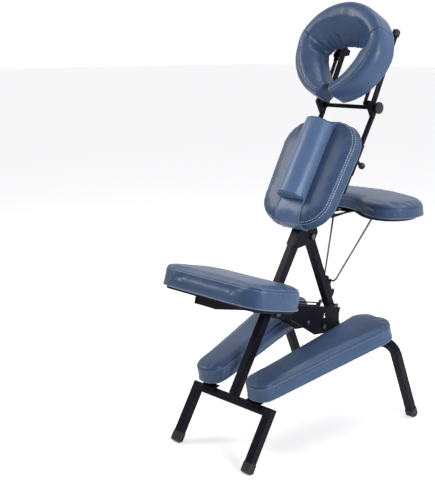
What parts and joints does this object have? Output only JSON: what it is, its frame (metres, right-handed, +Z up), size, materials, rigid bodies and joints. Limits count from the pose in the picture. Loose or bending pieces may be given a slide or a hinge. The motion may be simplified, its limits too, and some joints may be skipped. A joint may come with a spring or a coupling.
{
  "type": "folding massage chair",
  "caption": "Folding portable massage chair: padded seat, knee rests, chest pad with bolster, armrest and horseshoe face cradle on a crossed steel frame.",
  "frame": {"origin": "on the floor, midway between the legs side to side, in the middle of the overall depth", "axes": "+Z up, +Y the way the client faces, +X towards the client's right"},
  "size_m": [0.5416, 0.7714, 1.2817],
  "materials": {
    "steel": "black powder coat, satin",
    "zinc": "bright zinc plate",
    "vinyl": "soft slate blue vinyl over foam, semi gloss",
    "plywood": "dark stained plywood with a black backing cloth",
    "rubber": "matte",
    "plastic": "moulded, fine texture"
  },
  "bodies": {
    "rear_frame": {"rear_crossbar": "steel", "rear_leg_left": "steel", "rear_leg_right": "steel", "rear_foot_left": "rubber", "rear_foot_right": "rubber", "rear_spine": "steel", "knee_rest_left": "steel", "knee_rest_right": "steel", "pivot_plate_left": "steel", "pivot_plate_right": "steel", "main_pivot_bolt": "zinc", "post_yoke": "steel", "armrest_bracket": "steel", "chest_plate": "steel", "chest_board": "plywood", "chest_cushion": "vinyl", "bolster_flap": "vinyl", "chest_bolster": "vinyl"},
    "front_frame": {"front_base": "steel", "front_foot_left": "rubber", "front_foot_right": "rubber", "front_tube": "steel", "latch_pin": "zinc", "prop_rack": "steel", "knee_lug_left": "steel", "knee_lug_right": "steel"},
    "seat": {"seat_board": "plywood", "seat_cushion": "vinyl", "seat_side_plate_left": "steel", "seat_side_plate_right": "steel", "seat_rear_member": "steel", "seat_front_member": "steel", "seat_pivot_bolt": "zinc"},
    "knee_pad_right": {"knee_board_right": "plywood", "knee_cushion_right": "vinyl", "knee_bracket_right": "steel"},
    "knee_pad_left": {"knee_board_left": "plywood", "knee_cushion_left": "vinyl", "knee_bracket_left": "steel"},
    "head_posts": {"head_post_left": "steel", "head_post_right": "steel", "cradle_axle": "steel"},
    "cradle_arms": {"cradle_arm_left": "steel", "cradle_arm_right": "steel", "arm_cap_left": "plastic", "arm_cap_right": "plastic"},
    "cradle_links": {"cradle_link_left": "steel", "cradle_link_right": "steel"},
    "cradle_brackets": {"cradle_bracket_left": "steel", "cradle_bracket_right": "steel"},
    "face_cradle": {"face_cushion": "vinyl", "face_board": "plywood", "face_hinge": "steel"},
    "armrest": {"armrest_board": "plywood", "armrest_cushion": "vinyl", "armrest_hinge": "steel"},
    "bail": {"prop_bail": "zinc"},
    "height_knob_right": {"height_knob_right": "plastic"},
    "height_knob_left": {"height_knob_left": "plastic"},
    "cradle_knob": {"cradle_knob": "plastic"}
  },
  "joints": [
    {"name": "frame_fold", "type": "hinge", "parent": "rear_frame", "child": "front_frame", "pos_m": [0, 0.04315, 0.58413], "axis": [-1, 0, 0], "range_deg": [0, 44]},
    {"name": "seat_swing", "type": "hinge", "parent": "rear_frame", "child": "seat", "pos_m": [0, -0.13429, 0.38485], "axis": [1, 0, 0], "range_deg": [0, 20]},
    {"name": "knee_right_fold", "type": "hinge", "parent": "front_frame", "child": "knee_pad_right", "pos_m": [0.118, 0.15352, 0.26111], "axis": [1, 0, 0], "range_deg": [0, 40]},
    {"name": "knee_left_fold", "type": "hinge", "parent": "front_frame", "child": "knee_pad_left", "pos_m": [-0.118, 0.15352, 0.26111], "axis": [1, 0, 0], "range_deg": [0, 40]},
    {"name": "head_slide", "type": "slide", "parent": "rear_frame", "child": "head_posts", "axis": [0, 0.5195, 0.8545], "range_m": [-0.02, 0.09]},
    {"name": "cradle_swing", "type": "hinge", "parent": "head_posts", "child": "cradle_arms", "pos_m": [0, 0.22151, 0.9662], "axis": [1, 0, 0], "range_deg": [0, 24]},
    {"name": "cradle_link_swing", "type": "hinge", "parent": "head_posts", "child": "cradle_links", "pos_m": [0, 0.19471, 0.97968], "axis": [1, 0, 0], "range_deg": [0, 24]},
    {"name": "cradle_level", "type": "hinge", "parent": "cradle_arms", "child": "cradle_brackets", "pos_m": [0, 0.30347, 1.12915], "axis": [-1, 0, 0], "range_deg": [0, 24]},
    {"name": "face_tilt", "type": "hinge", "parent": "cradle_brackets", "child": "face_cradle", "pos_m": [0, 0.2496, 1.11919], "axis": [-1, 0, 0], "range_deg": [-2, 14]},
    {"name": "armrest_fold", "type": "hinge", "parent": "rear_frame", "child": "armrest", "pos_m": [0, 0.13171, 0.64], "axis": [1, 0, 0], "range_deg": [0, 48]},
    {"name": "bail_swing", "type": "hinge", "parent": "armrest", "child": "bail", "pos_m": [0, 0.26171, 0.634], "axis": [-1, 0, 0], "range_deg": [0, 40]},
    {"name": "height_knob_right_turn", "type": "hinge", "parent": "rear_frame", "child": "height_knob_right", "pos_m": [0.099, 0.13711, 0.8139], "axis": [0, 0.8545, -0.5195], "continuous": true},
    {"name": "height_knob_left_turn", "type": "hinge", "parent": "rear_frame", "child": "height_knob_left", "pos_m": [-0.099, 0.13711, 0.8139], "axis": [0, 0.8545, -0.5195], "continuous": true},
    {"name": "cradle_knob_turn", "type": "hinge", "parent": "head_posts", "child": "cradle_knob", "pos_m": [0.115, 0.22151, 0.9662], "axis": [1, 0, 0], "continuous": true}
  ],
  "couplings": [
    {"joint": "knee_right_fold", "follows": "frame_fold", "ratio": 0.86},
    {"joint": "knee_left_fold", "follows": "frame_fold", "ratio": 0.86},
    {"joint": "cradle_link_swing", "follows": "cradle_swing", "ratio": 1},
    {"joint": "cradle_level", "follows": "cradle_swing", "ratio": 1},
    {"joint": "bail_swing", "follows": "armrest_fold", "ratio": 0.6}
  ]
}
